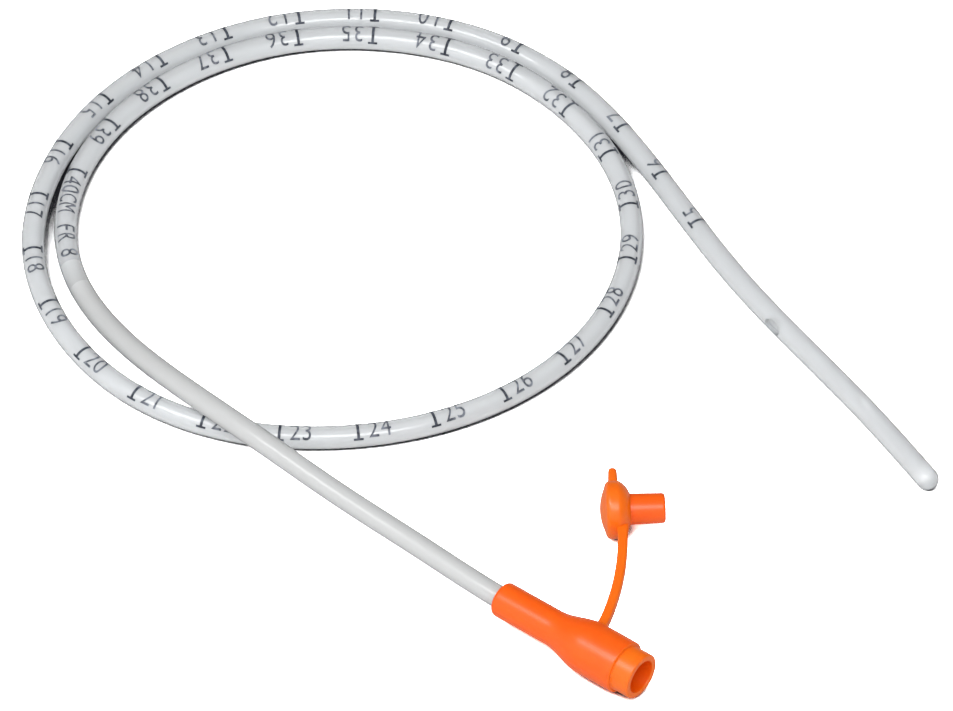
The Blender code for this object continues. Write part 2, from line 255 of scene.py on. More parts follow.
class FeedingTubeSettings(bpy.types.PropertyGroup):
    tube: bpy.props.PointerProperty(type=TubeSettings)
    print: bpy.props.PointerProperty(type=PrintSettings)
    connector: bpy.props.PointerProperty(type=ConnectorSettings)
    strap: bpy.props.PointerProperty(type=StrapSettings)
    cap: bpy.props.PointerProperty(type=CapSettings)
    stage: bpy.props.PointerProperty(type=StageSettings)


def heading(angle):
    return Vector((math.cos(angle), math.sin(angle), 0))


class Route:
    """The tube's smooth centre line, and the way from a straight tube to one that lies along it.

    Straight tube runs along X from its end in the connector, with Y to its left and Z up.
    """

    SAMPLES = 4000

    def __init__(self, in_socket):
        start = Vector(ROUTE[0]) + heading(CONNECTOR_AZIMUTH) * in_socket
        fine = self.spline([tuple(start), *ROUTE])
        run = self.lengths(fine)
        self.length = run[-1]
        self.places = np.linspace(0, self.length, self.SAMPLES)
        self.points = np.stack([np.interp(self.places, run, fine[:, i]) for i in range(3)], axis=1)
        ahead = np.gradient(self.points, axis=0)
        self.ahead = ahead / np.linalg.norm(ahead, axis=1)[:, None]
        left = np.cross((0, 0, 1), self.ahead)
        self.left = left / np.linalg.norm(left, axis=1)[:, None]
        self.up = np.cross(self.ahead, self.left)

    @staticmethod
    def lengths(points):
        return np.concatenate([[0], np.cumsum(np.linalg.norm(np.diff(points, axis=0), axis=1))])

    def spline(self, points):
        """Points along the natural cubic spline through the given ones."""
        knots = np.array(points)
        places = self.lengths(knots)
        spans = np.diff(places)
        system = np.eye(len(knots))
        slopes = np.zeros_like(knots)
        for i in range(1, len(knots) - 1):
            system[i, i - 1 : i + 2] = spans[i - 1], 2 * (spans[i - 1] + spans[i]), spans[i]
            rise, fall = knots[i + 1] - knots[i], knots[i] - knots[i - 1]
            slopes[i] = 6 * (rise / spans[i] - fall / spans[i - 1])
        bends = np.linalg.solve(system, slopes)
        place = np.linspace(0, places[-1], self.SAMPLES)
        i = np.clip(np.searchsorted(places, place, side="right") - 1, 0, len(spans) - 1)
        after = ((place - places[i]) / spans[i])[:, None]
        before = 1 - after
        bend = (before**3 - before) * bends[i] + (after**3 - after) * bends[i + 1]
        return before * knots[i] + after * knots[i + 1] + bend * spans[i, None] ** 2 / 6

    def at(self, table, place):
        return np.stack([np.interp(place, self.places, table[:, i]) for i in range(3)], axis=-1)

    def lay(self, obj):
        """Lays a straight piece along the route, and keeps its straight places for its pattern."""
        mesh = obj.data
        straight = rows_of(mesh.vertices, "co")
        pattern = mesh.attributes.new("straight", "FLOAT_VECTOR", "POINT")
        pattern.data.foreach_set("vector", straight.ravel())
        x, y, z = straight.T
        laid = self.at(self.points, x)
        laid += y[:, None] * self.at(self.left, x) + z[:, None] * self.at(self.up, x)
        past_end = np.maximum(x - self.length, 0) + np.minimum(x, 0)
        laid += past_end[:, None] * self.at(self.ahead, x)
        mesh.vertices.foreach_set("co", laid.ravel())
        mesh.update()


def route(settings):
    return Route(settings.tube.in_socket)


def rows_of(items, key):
    """A vector property of all vertices, or a vector attribute's data, as rows of three."""
    values = np.empty(len(items) * 3)
    items.foreach_get(key, values)
    return values.reshape(-1, 3)


def active():
    return bpy.context.view_layer.objects.active


def only(obj):
    """Selects one object and makes it the active one."""
    bpy.ops.object.select_all(action="DESELECT")
    obj.select_set(True)
    bpy.context.view_layer.objects.active = obj


def mode(name):
    bpy.ops.object.mode_set(mode=name)


def extrude(*step):
    bpy.ops.mesh.extrude_region_move(TRANSFORM_OT_translate={"value": step})


def edit_all(obj, change, **values):
    """Runs one of edit mode's commands on the object's whole mesh."""
    only(obj)
    mode("EDIT")
    bpy.ops.mesh.select_all(action="SELECT")
    change(**values)
    mode("OBJECT")
    return obj


def face_outwards(obj):
    return edit_all(obj, bpy.ops.mesh.normals_make_consistent, inside=False)


def named(obj, name):
    obj.name = name
    obj.data.name = name
    return obj


def settle(obj):
    """Moves the object's place, turn and size into its mesh."""
    only(obj)
    bpy.ops.object.transform_apply(location=True, rotation=True, scale=True)
    return obj


def place(obj, matrix):
    obj.data.transform(matrix)
    obj.data.update()
    return obj


def finish_with(obj, *materials):
    obj.data.materials.clear()
    for made in materials:
        obj.data.materials.append(made)
    return obj


def combine(obj, other, operation, solver="EXACT"):
    """Adds the other solid to the object or cuts it out, and removes it."""
    only(obj)
    change = obj.modifiers.new("combine", "BOOLEAN")
    change.operation, change.object, change.solver = operation, other, solver
    bpy.ops.object.modifier_apply(modifier=change.name)
    bpy.data.objects.remove(other, do_unlink=True)
    return obj


def smooth(obj, degrees=35):
    only(obj)
    bpy.ops.object.shade_smooth_by_angle(angle=math.radians(degrees))
    return obj


def arc(middle, radius, start, end, steps):
    """Rows (place, radius) along part of a circle, from one angle to another in degrees."""
    rows = []
    for i in range(steps + 1):
        angle = math.radians(start + (end - start) * i / steps)
        rows.append((middle[0] + radius * math.cos(angle), middle[1] + radius * math.sin(angle)))
    return rows


def turned(name, rows, sides, closed=False):
    """A piece turned about X: one ring, extruded through the rows of (place, radius).

    A closed profile's last row is joined to its first, and an open one has its two ends filled.
    """
    (x, radius), *rest = rows
    bpy.ops.mesh.primitive_circle_add(
        vertices=sides, radius=radius, location=(x, 0, 0), rotation=(0, math.pi / 2, 0)
    )
    obj = settle(named(active(), name))
    mode("EDIT")
    bpy.ops.mesh.select_mode(type="EDGE")
    bpy.ops.mesh.select_all(action="SELECT")
    if not closed:
        bpy.ops.mesh.edge_face_add()
    for next_x, next_radius in rest:
        extrude(next_x - x, 0, 0)
        share = next_radius / radius
        bpy.ops.transform.resize(value=(1, share, share), center_override=(next_x, 0, 0))
        x, radius = next_x, next_radius
    if closed:
        bpy.ops.mesh.select_all(action="DESELECT")
        bpy.ops.mesh.select_non_manifold()
        bpy.ops.mesh.bridge_edge_loops()
    mode("OBJECT")
    return face_outwards(obj)


def rounded_section(name, rotation, middle, size, rounding, segments):
    """A flat rounded rectangle, left in edit mode with all of it selected, ready to be extruded."""
    bpy.ops.mesh.primitive_plane_add(size=1, rotation=rotation)
    obj = named(active(), name)
    obj.location = middle
    obj.scale = (*size, 1)
    settle(obj)
    mode("EDIT")
    bpy.ops.mesh.select_all(action="SELECT")
    bpy.ops.mesh.bevel(offset=rounding, affect="VERTICES", segments=segments)
    bpy.ops.mesh.select_all(action="SELECT")
    return obj


class Nodes:
    """Short forms for a node tree's nodes and links."""

    def __init__(self, tree):
        self.tree = tree

    def add(self, kind, links=None, **values):
        """A node with values for its settings, and links or values for its inputs."""
        node = self.tree.nodes.new(kind)
        for key, value in values.items():
            setattr(node, key, value)
        return self.fill(node, links or {})

    def fill(self, node, links):
        """Links or values for a node's inputs, by name or number."""
        for key, value in links.items():
            if isinstance(value, bpy.types.NodeSocket):
                self.tree.links.new(value, node.inputs[key])
            else:
                node.inputs[key].default_value = value
        return node

    def math(self, operation, *values):
        return self.add("ShaderNodeMath", dict(enumerate(values)), operation=operation).outputs[0]

    def mix(self, share, first, second):
        links = {"Factor": share, 6: first, 7: second}
        return self.add("ShaderNodeMix", links, data_type="RGBA").outputs[2]

    def between(self, value, low, high):
        return self.add("ShaderNodeMapRange", {0: value, 3: low, 4: high}).outputs[0]

    def step(self, value, start, end, low=0.0, high=1.0):
        """A smooth step from low to high while the value goes from start to end."""
        links = {0: value, 1: start, 2: end, 3: low, 4: high}
        return self.add("ShaderNodeMapRange", links, interpolation_type="SMOOTHSTEP").outputs[0]

    def either(self, share, first, second):
        """The first shader where the share is 0, and the second where it is 1."""
        return self.add("ShaderNodeMixShader", {0: share, 1: first, 2: second}).outputs[0]


def new_material(name):
    """A material with its node helper and its Principled shader."""
    made = bpy.data.materials.new(name)
    made.use_nodes = True
    nodes = Nodes(made.node_tree)
    return made, nodes, made.node_tree.nodes["Principled BSDF"]


def surface_group():
    """Fine surface variation: a broad mottle, a fine grain, and their height for a bump."""
    name = "Moulded surface"
    if name in bpy.data.node_groups:
        return bpy.data.node_groups[name]
    group = bpy.data.node_groups.new(name, "ShaderNodeTree")
    for label, kind, default in (
        ("Vector", "NodeSocketVector", None),
        ("Mottle scale", "NodeSocketFloat", 300),
        ("Grain scale", "NodeSocketFloat", 4000),
    ):
        socket = group.interface.new_socket(name=label, in_out="INPUT", socket_type=kind)
        if default is not None:
            socket.default_value = default
    for label in ("Mottle", "Grain", "Height"):
        group.interface.new_socket(name=label, in_out="OUTPUT", socket_type="NodeSocketFloat")
    nodes = Nodes(group)
    given = nodes.add("NodeGroupInput").outputs
    fields = {}
    for label, detail in (("Mottle", 3), ("Grain", 2)):
        links = {"Vector": given["Vector"], "Scale": given[f"{label} scale"], "Detail": detail}
        fields[label] = nodes.add("ShaderNodeTexNoise", links).outputs["Fac"]
    grain_height = nodes.math("MULTIPLY", fields["Grain"], GRAIN_SHARE)
    fields["Height"] = nodes.math("ADD", fields["Mottle"], grain_height)
    nodes.add("NodeGroupOutput", fields)
    return group


def surface(nodes, vector, mottle_scale, grain_scale):
    """The shared surface variation placed in a material."""
    links = {"Vector": vector, "Mottle scale": mottle_scale, "Grain scale": grain_scale}
    return nodes.add("ShaderNodeGroup", links, node_tree=surface_group()).outputs


def scaled(tint, share, more=0.0):
    """A colour made darker or lighter, as a node's input takes it."""
    return (*(c * share + more for c in tint), 1)


def tube_material(name, milky, clear, border, end, transmission, roughness):
    """Extruded soft vinyl, milky to clear: faint draw lines, painted shade along the outline where
    the wall is seen edge on, and painted shade that greys the tip.
    """
    made, nodes, shader = new_material(name)
    own = nodes.add("ShaderNodeAttribute", attribute_name="straight").outputs["Vector"]
    links = {"Vector": own, "Scale": (1 / DRAW_STRETCH, 1, 1)}
    pattern = nodes.add("ShaderNodeMapping", links).outputs[0]
    drawn = surface(nodes, pattern, mottle_scale=420, grain_scale=2600)
    along = nodes.add("ShaderNodeSeparateXYZ", {0: own}).outputs[0]
    tint = nodes.mix(nodes.step(along, *border), scaled(milky, 1), scaled(clear, 1))
    # Painted shade: the tint greys over the last few millimetres to the tip
    tip = nodes.step(along, end - TIP_SHADE_START, end - TIP_SHADE_END, 1.0, TIP_SHADE)
    streak_and_tip_shade = nodes.math("MULTIPLY", nodes.between(drawn["Mottle"], 0.92, 1.05), tip)
    tinted = nodes.add("ShaderNodeVectorMath", {0: tint, 3: streak_and_tip_shade}, operation="SCALE").outputs[0]
    # Painted shade: the tint darkens towards the outline, where the wall is seen edge on
    edge_on = nodes.add("ShaderNodeLayerWeight", {"Blend": 0.5}).outputs["Facing"]
    wall = nodes.math("MULTIPLY", nodes.math("POWER", edge_on, EDGE_SHARPNESS), EDGE_SHADE)
    wall = nodes.math("MINIMUM", wall, 1.0)
    links = {"Height": drawn["Height"], "Distance": 0.000004, "Strength": 0.3}
    nodes.fill(shader, {
        "Base Color": nodes.mix(wall, tinted, scaled(clear, PAINTED_EDGE_TINT)),
        "Roughness": nodes.between(drawn["Grain"], roughness * 0.85, roughness * 1.15),
        "Normal": nodes.add("ShaderNodeBump", links).outputs[0],
        "Transmission Weight": transmission,
        "IOR": 1.53,
        "Specular IOR Level": 0.35,
    })
    return made


def ink_material(name, tint):
    """Thin dark ink, thinner and paler in spots."""
    made, nodes, shader = new_material(name)
    vector = nodes.add("ShaderNodeTexCoord").outputs["Object"]
    worn = surface(nodes, vector, mottle_scale=1300, grain_scale=7000)
    thin = nodes.step(worn["Mottle"], 0.35, 0.68)
    full, paler = scaled(tint, 0.7), scaled(tint, 1.6, 0.04)
    nodes.fill(shader, {
        "Base Color": nodes.mix(thin, full, paler),
        "Roughness": nodes.between(worn["Grain"], 0.4, 0.65),
        "Specular IOR Level": 0.3,
    })
    return made


def orange_material(name, tint):
    """Moulded soft vinyl in a strong orange, with a fine satin grain."""
    if name in bpy.data.materials:
        return bpy.data.materials[name]
    made, nodes, shader = new_material(name)
    vector = nodes.add("ShaderNodeTexCoord").outputs["Object"]
    moulded = surface(nodes, vector, mottle_scale=350, grain_scale=6000)
    deep = (tint[0] * 0.96, tint[1] * 0.86, tint[2] * 0.5, 1)
    light = (min(1, tint[0] * 1.03), tint[1] * 1.12, tint[2] * 2, 1)
    links = {"Height": moulded["Height"], "Distance": 0.00002, "Strength": 0.4}
    nodes.fill(shader, {
        "Base Color": nodes.mix(moulded["Mottle"], deep, light),
        "Roughness": nodes.between(moulded["Grain"], 0.28, 0.38),
        "Normal": nodes.add("ShaderNodeBump", links).outputs[0],
        "Specular IOR Level": 0.5,
        "Subsurface Weight": 0.1,
        "Subsurface Radius": (1.0, 0.25, 0.02),
        "Subsurface Scale": 0.0010,
    })
    return made


def mould(obj, sizes, gets_painted_glow):
    """Gives a piece its orange, and a paler orange of painted light, standing for light that comes
    through thin walls, on the faces whose middle the test picks.
    """
    body = orange_material("orange_vinyl", tuple(sizes.body_colour))
    thin = orange_material("painted_glow_orange_vinyl", tuple(sizes.thin_colour))
    finish_with(obj, body, thin)
    for face in obj.data.polygons:
        face.material_index = int(gets_painted_glow(face.center))


def tube_mesh(sizes, end):
    """The hollow straight tube: one profile, from the lumen's closed end round to the tip."""
    outer, inner = sizes.outer_diameter / 2, sizes.bore / 2
    lumen_end = end - sizes.tip_solid
    count = round(end / sizes.ring_step)
    inner_rows = arc((lumen_end - inner, 0), inner, 4, 90, 8)
    inner_rows += [(x, inner) for x in np.linspace(lumen_end - inner, 0, count)[1:]]
    outer_rows = [(x, outer) for x in np.linspace(0, end - outer, count)]
    outer_rows += arc((end - outer, 0), outer, 90, 3, 16)[1:]
    rows = inner_rows + outer_rows
    sides = 40
    angles = np.arange(sides) * 2 * math.pi / sides
    around = np.stack([np.sin(angles), np.cos(angles)], axis=1)
    rings = np.array([[(x, *(radius * around[k])) for k in range(sides)] for x, radius in rows])
    corners = rings.reshape(-1, 3).tolist()
    faces = [list(range(sides))[::-1], list(range((len(rows) - 1) * sides, len(rows) * sides))]
    for i in range(len(rows) - 1):
        for k in range(sides):
            after = (k + 1) % sides
            a, b = i * sides, (i + 1) * sides
            faces.append((a + k, a + after, b + after, b + k))
    mesh = bpy.data.meshes.new("tube")
    mesh.from_pydata(corners, [], faces)
    obj = bpy.data.objects.new("tube", mesh)
    bpy.context.scene.collection.objects.link(obj)
    return face_outwards(obj)


def cut_eye(tube, sizes, end, from_tip, angle):
    """Cuts one oval side eye through the near wall; the angle is from the tube's left side."""
    depth = sizes.outer_diameter
    out = Matrix.Rotation(angle, 3, "X") @ Vector((0, 1, 0))
    middle = Vector((end - from_tip, 0, 0)) + out * (sizes.bore / 4 + depth / 2)
    bpy.ops.mesh.primitive_cylinder_add(vertices=48, radius=sizes.eye_width / 2, depth=depth)
    punch = active()
    punch.scale = (sizes.eye_length / sizes.eye_width, 1, 1)
    settle(punch)
    punch.rotation_euler = (angle - math.pi / 2, 0, 0)
    punch.location = middle
    settle(punch)
    combine(tube, punch, "DIFFERENCE", "MANIFOLD")


class FEEDINGTUBE_OT_tube(bpy.types.Operator):
    """Add the clear tube with its lumen, closed tip and two side eyes"""

    bl_idname = "feedingtube.tube"
    bl_label = "Clear tube"
    bl_options = {"REGISTER", "UNDO"}

    def execute(self, context):
        settings = context.scene.feeding_tube
        sizes = settings.tube
        line = route(settings)
        tube = tube_mesh(sizes, line.length)
        cut_eye(tube, sizes, line.length, sizes.near_eye, sizes.eye_turn)
        cut_eye(tube, sizes, line.length, sizes.far_eye, sizes.eye_turn + math.pi)
        line.lay(tube)
        smooth(tube, 40)
        tints = tuple(sizes.frosted_tint), tuple(sizes.clear_tint)
        frosted_end = sizes.in_socket + sizes.frosted_length
        border = (frosted_end - TINT_LEAD, frosted_end + TINT_TAIL)
        finish_with(tube, *(
            tube_material(name, *tints, border, line.length, transmission, roughness)
            for name, transmission, roughness in TUBE_LOOKS
        ))
        self.mark_frosted(tube, sizes)
        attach(tube, "tube_and_connector")
        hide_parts("feeding_tube")
        return {"FINISHED"}

    def mark_frosted(self, tube, sizes):
        along = rows_of(tube.data.attributes["straight"].data, "vector")[:, 0]
        border = sizes.in_socket + sizes.frosted_length
        for face in tube.data.polygons:
            gone = along[list(face.vertices)].mean() - border
            face.material_index = 2 if gone < 0 else int(gone < sizes.haze_length)


def glyph(text):
    """One character of the built-in font as a thin plate from the origin, and its size."""
    bpy.ops.object.text_add(location=(0, 0, 0))
    obj = active()
    obj.data.body = text
    obj.data.size = 1
    obj.data.resolution_u = 4
    obj.data.offset = -0.003
    obj.data.extrude = 0.01
    bpy.context.view_layer.update()
    only(obj)
    bpy.ops.object.convert(target="MESH")
    obj = named(active(), f"glyph_{text}")
    edit_all(obj, bpy.ops.mesh.remove_doubles, threshold=1e-6)
    corners = np.array([v.co for v in obj.data.vertices])
    low, high = corners.min(axis=0), corners.max(axis=0)
    place(obj, Matrix.Translation((-low[0], -low[1], 0)))
    return obj, high - low


def plate(name, width, height, x, y):
    """A thin rectangular plate with its middle at x and y."""
    bpy.ops.mesh.primitive_cube_add(size=1, location=(x, y, 0))
    obj = named(active(), name)
    obj.scale = (width, height, 0.02)
    return settle(obj)


def cut_fine(obj, step=0.00022):
    """Cuts a flat piece along straight lines so that it can be wrapped and bent."""
    only(obj)
    mode("EDIT")
    for axis in (0, 1):
        values = [v.co[axis] for v in obj.data.vertices]
        low, high = min(values), max(values)
        normal = Vector((axis == 0, axis == 1, 0))
        for cut in np.arange(low + step / 2, high, step):
            bpy.ops.mesh.select_all(action="SELECT")
            bpy.ops.mesh.bisect(plane_co=normal * cut, plane_no=normal, threshold=1e-8)
    mode("OBJECT")
    return obj


def copied(obj, x, y):
    made = obj.copy()
    made.data = obj.data.copy()
    bpy.context.scene.collection.objects.link(made)
    place(made, Matrix.Translation((x, y, 0)))
    return made


class FEEDINGTUBE_OT_print(bpy.types.Operator):
    """Add the printed marks and numbers along the tube"""

    bl_idname = "feedingtube.print"
    bl_label = "Graduations"
    bl_options = {"REGISTER", "UNDO"}

    def execute(self, context):
        settings = context.scene.feeding_tube
        sizes = settings.print
        line = route(settings)
        masters = self.masters(sizes)
        pieces = []
        for mark in range(sizes.first_mark, sizes.last_mark + 1):
            run = sizes.first_from_tip + (mark - sizes.first_mark) * sizes.pitch
            pieces.append(copied(masters["mark"], run, 0))
            text = str(mark) + ("CM" if mark == sizes.last_mark else "")
            self.write(pieces, masters, sizes, text, run + sizes.digit_start)
        self.write(pieces, masters, sizes, "FR 8", run + sizes.gauge_start)
        for master in masters.values():
            bpy.data.objects.remove(master, do_unlink=True)
        bpy.ops.object.select_all(action="DESELECT")
        for piece in pieces:
            piece.select_set(True)
        bpy.context.view_layer.objects.active = pieces[0]
        bpy.ops.object.join()
        marks = named(active(), "graduations")
        self.wrap(marks, settings, line)
        line.lay(marks)
        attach(marks, "tube_and_connector")
        return {"FINISHED"}

    def masters(self, sizes):
        """One flat copy of the mark and of each character, in reading order along X."""
        made = {}
        half = sizes.bar_length / 2
        bar = plate("mark", sizes.bar_width, sizes.bar_length, 0, 0)
        for side in (-1, 1):
            middle = side * (half - sizes.bar_width * 0.4)
            serif = plate("serif", sizes.serif_length, sizes.bar_width * 0.8, 0, middle)
            combine(bar, serif, "UNION")
        mark_ink = ink_material("mark_ink", tuple(sizes.bar_ink))
        made["mark"] = finish_with(cut_fine(bar), mark_ink)
        digit_ink = ink_material("number_ink", tuple(sizes.digit_ink))
        across = 0
        for letter in "8023456791CMFR":
            obj, size = glyph(letter)
            across = across or sizes.digit_width / size[0]
            share = min(across, self.wide(letter, sizes) / size[0])
            place(obj, Matrix.Diagonal((share, sizes.digit_height / size[1], 1, 1)))
            place(obj, Matrix.Translation((0, -sizes.digit_height / 2, 0)))
            made[letter] = finish_with(cut_fine(obj), digit_ink)
        return made

    def wide(self, letter, sizes):
        return sizes.digit_width * (1.2 if letter == "M" else 1)

    def write(self, pieces, masters, sizes, text, run):
        for letter in text:
            if letter == " ":
                run += sizes.digit_width
                continue
            inset = sizes.digit_width * 0.25 if letter == "1" else 0
            pieces.append(copied(masters[letter], run + inset, 0))
            run += self.wide(letter, sizes) + sizes.digit_gap

    def wrap(self, marks, settings, line):
        """Wraps the flat print about the straight tube: X was the run from the tip, Y was up."""
        sizes = settings.print
        radius = settings.tube.outer_diameter / 2
        x, y, z = rows_of(marks.data.vertices, "co").T
        numbers, degrees = zip(*PRINT_TURNS)
        at = sizes.first_mark + (x - sizes.first_from_tip) / sizes.pitch
        turn_out = np.radians(np.interp(at, numbers, degrees))
        angle = turn_out - y / radius
        out = radius + np.where(z > 0, sizes.ink_height, -sizes.ink_height / 2)
        wrapped = np.stack([line.length - x, out * np.sin(angle), out * np.cos(angle)], axis=1)
        marks.data.vertices.foreach_set("co", wrapped.ravel())
        marks.data.update()


def connector_matrix():
    return Matrix.Translation(ROUTE[0]) @ Matrix.Rotation(CONNECTOR_AZIMUTH, 4, "Z")


def connector_rows(tube, sizes):
    """The funnel's closed section as (place along the axis, radius), outer side first."""
    sleeve, body = sizes.sleeve_diameter / 2, sizes.body_diameter / 2
    collar, mouth = sizes.collar_diameter / 2, sizes.mouth_diameter / 2
    edge, step, fillet, rim = 0.00055, 0.00022, 0.00008, 0.00012
    luer_slope = 0.03
    rows = arc((edge, sleeve - edge), edge, 180, 90, 7)
    steps = 18
    for i in range(steps + 1):
        share = i / steps
        ease = (1 - math.cos(math.pi * share)) / 2
        along = sizes.sleeve_length + (sizes.body_start - sizes.sleeve_length) * share
        rows.append((along, sleeve + (body - sleeve) * ease))
    rows.append(((sizes.body_start + sizes.body_end) / 2, body))
    rows += arc((sizes.body_end - step, body - step), step, 90, 0, 5)
    rows.append((sizes.body_end, collar + fillet))
    rows.append((sizes.body_end + fillet, collar))
    lip = collar - mouth
    rows += arc((sizes.total_length - lip, mouth), lip, 90, 0, 8)
    bore = sizes.mouth_bore / 2
    rows += arc((sizes.total_length - rim, bore + rim), rim, 0, -90, 4)
    luer_end = sizes.total_length - sizes.luer_depth
    lumen = tube.bore / 2
    socket = tube.outer_diameter / 2 + sizes.socket_fit
    return rows + [
        (luer_end, bore - sizes.luer_depth * luer_slope),
        (luer_end - bore, lumen),
        (sizes.socket_depth, lumen),
        (sizes.socket_depth, socket),
        (0, socket),
    ]


class FEEDINGTUBE_OT_connector(bpy.types.Operator):
    """Add the orange funnel connector with its luer mouth"""

    bl_idname = "feedingtube.connector"
    bl_label = "Funnel connector"
    bl_options = {"REGISTER", "UNDO"}

    def execute(self, context):
        settings = context.scene.feeding_tube
        sizes = settings.connector
        connector = turned("connector", connector_rows(settings.tube, sizes), 96, closed=True)
        self.raise_mould_lines(connector, sizes)
        # The collar and mouth take the paler orange of painted light
        mould(connector, sizes, lambda middle: middle.x > sizes.body_end - 0.0001)
        place(connector, connector_matrix())
        smooth(connector)
        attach(connector, "tube_and_connector")
        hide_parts("funnel_connector")
        return {"FINISHED"}

    def raise_mould_lines(self, connector, sizes):
        """Raises the parting line along the two sides of the outer side, level with the strap."""
        for vertex in connector.data.vertices:
            x, y, z = vertex.co
            radius = math.hypot(y, z)
            outer = radius > sizes.sleeve_diameter / 2 - 0.00025
            if outer and abs(z) < 1e-6 and sizes.sleeve_length < x < sizes.body_end:
                vertex.co.y += math.copysign(sizes.mould_line, y)


def strap_ends(sizes):
    """The flexing axes at the connector and at the cap, and the strap's heading at each."""
    root = Vector(HINGES["strap_flex"]["pos_m"])
    cap = Vector(HINGES["cap_fold"]["pos_m"])
    return root, cap, heading(sizes.root_heading), heading(sizes.cap_heading)


def strap_line(connector, sizes):
    """The points of the strap's middle line, from inside the connector to inside the disc."""
    surface = connector_matrix() @ Vector((sizes.root, connector.body_diameter / 2, 0))
    root, cap, root_dir, cap_dir = strap_ends(sizes)
    handle = (cap - root).length * 0.34
    a, b, c, d = root, root + root_dir * handle, cap - cap_dir * handle, cap
    line = []
    for gone in np.linspace(-sizes.sunk, sizes.reach, 12):
        line.append(surface + root_dir * gone)
    steps = 30
    for i in range(1, steps + 1):
        t = i / steps
        s = 1 - t
        line.append(a * s**3 + b * 3 * s * s * t + c * 3 * s * t * t + d * t**3)
    for gone in np.linspace(0, sizes.reach + sizes.sunk, 12)[1:]:
        line.append(cap + cap_dir * gone)
    return line


class FEEDINGTUBE_OT_strap(bpy.types.Operator):
    """Add the strap that tethers the cap, in two halves that meet at its middle"""

    bl_idname = "feedingtube.strap"
    bl_label = "Cap strap"
    bl_options = {"REGISTER", "UNDO"}

    def execute(self, context):
        settings = context.scene.feeding_tube
        sizes = settings.strap
        line = strap_line(settings.connector, sizes)
        middle = len(line) // 2
        first = self.ribbon("strap_root_half", line, 0, middle, sizes)
        last = self.ribbon("strap_cap_half", line, middle, len(line) - 1, sizes)
        for half in (first, last):
            # The whole strap takes the paler orange of painted light
            mould(half, settings.connector, lambda middle: True)
            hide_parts("cap_strap")
        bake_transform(first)
        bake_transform(last)
        return {"FINISHED"}

    def ribbon(self, name, line, start, end, sizes):
        """One half, extruded straight from its section and then laid along the strap's line."""
        size = (sizes.height, sizes.width)
        obj = rounded_section(name, (0, math.pi / 2, 0), (0, 0, 0), size, sizes.edge, 5)
        for _ in range(start, end):
            extrude(1, 0, 0)
        mode("OBJECT")
        for vertex in obj.data.vertices:
            x, y, z = vertex.co
            i = start + round(x)
            before, after = line[max(i - 1, 0)], line[min(i + 1, len(line) - 1)]
            ahead = (after - before).normalized()
            left = Vector((-ahead.y, ahead.x, 0))
            more = self.extra(line, i, sizes)
            spread = left * y * (1 + more / sizes.width)
            vertex.co = line[i] + spread + Vector((0, 0, z * (1 + more / sizes.height * 0.8)))
        return smooth(face_outwards(obj), 50)

    def extra(self, line, i, sizes):
        """Extra width near the ends, where the strap spreads into the moulding."""
        span, at_connector, at_cap = 0.0016, 1, 0.3
        steps = [(line[k + 1] - line[k]).length for k in range(len(line) - 1)]
        gone, left = sum(steps[:i]), sum(steps[i:])
        share = max(0, 1 - max(min(gone, left) - sizes.sunk, 0) / span)
        return sizes.flare * share**3 * (at_connector if gone < left else at_cap)


def cap_rows(sizes):
    """The cap's section as (place along the plug, radius), from the crown to the plug's end."""
    rim, plug = sizes.disc_diameter / 2, sizes.plug_diameter / 2
    back, front = -sizes.disc_thickness / 2, sizes.disc_thickness / 2
    rows = []
    flat = rim - sizes.rounding
    for share in (0.04, 0.15, 0.3, 0.45, 0.6, 0.75, 0.9):
        rows.append((back - sizes.crown * (1 - share**2), flat * share))
    rows += arc((back + sizes.rounding, flat), sizes.rounding, 170, 90, 10)
    in_disc, last = 0.0005, 0.0003
    shoulder = front - in_disc
    dome_end = front + sizes.dome_length
    steps, fullness = 16, 1.35
    for i in range(steps):
        angle = math.pi / 2 * i / steps
        along = shoulder + (dome_end - shoulder) * math.sin(angle) ** fullness
        rows.append((along, plug + (rim - plug) * math.cos(angle) ** fullness))
    end, edge = dome_end + sizes.plug_length, 0.0004
    rows += arc((end - edge, plug - edge), edge, 90, 0, 8)
    rows.append((end, last))
    return rows


